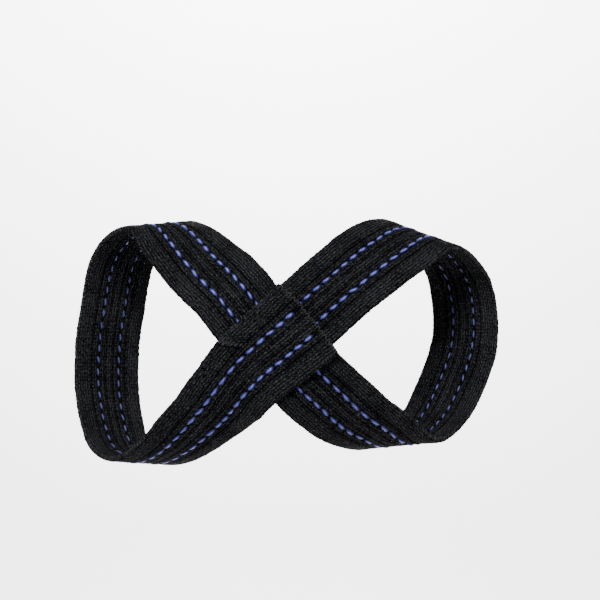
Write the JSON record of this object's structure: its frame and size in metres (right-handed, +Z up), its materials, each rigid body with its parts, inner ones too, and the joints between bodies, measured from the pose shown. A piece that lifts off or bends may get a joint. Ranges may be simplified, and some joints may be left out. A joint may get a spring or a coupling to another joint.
{
  "type": "figure-8 weightlifting strap",
  "caption": "Padded webbing strap in a figure-8 as worn on a hand: a finger loop and a wrist loop that cross at the palm, where the lapped ends are sewn.",
  "frame": {"origin": "middle of the sewn crossing, on the face that lies against the palm", "axes": "+X from the finger loop to the wrist loop, +Y from the front of the strap to its back, into the palm, +Z up"},
  "size_m": [0.2111, 0.0734, 0.121],
  "materials": {
    "webbing": "matte padded knit, near black",
    "accent_thread": "twisted blue thread with a soft sheen",
    "seam_thread": "black polyester thread"
  },
  "bodies": {
    "root": {"webbing_band": "webbing"}
  },
  "joints": []
}
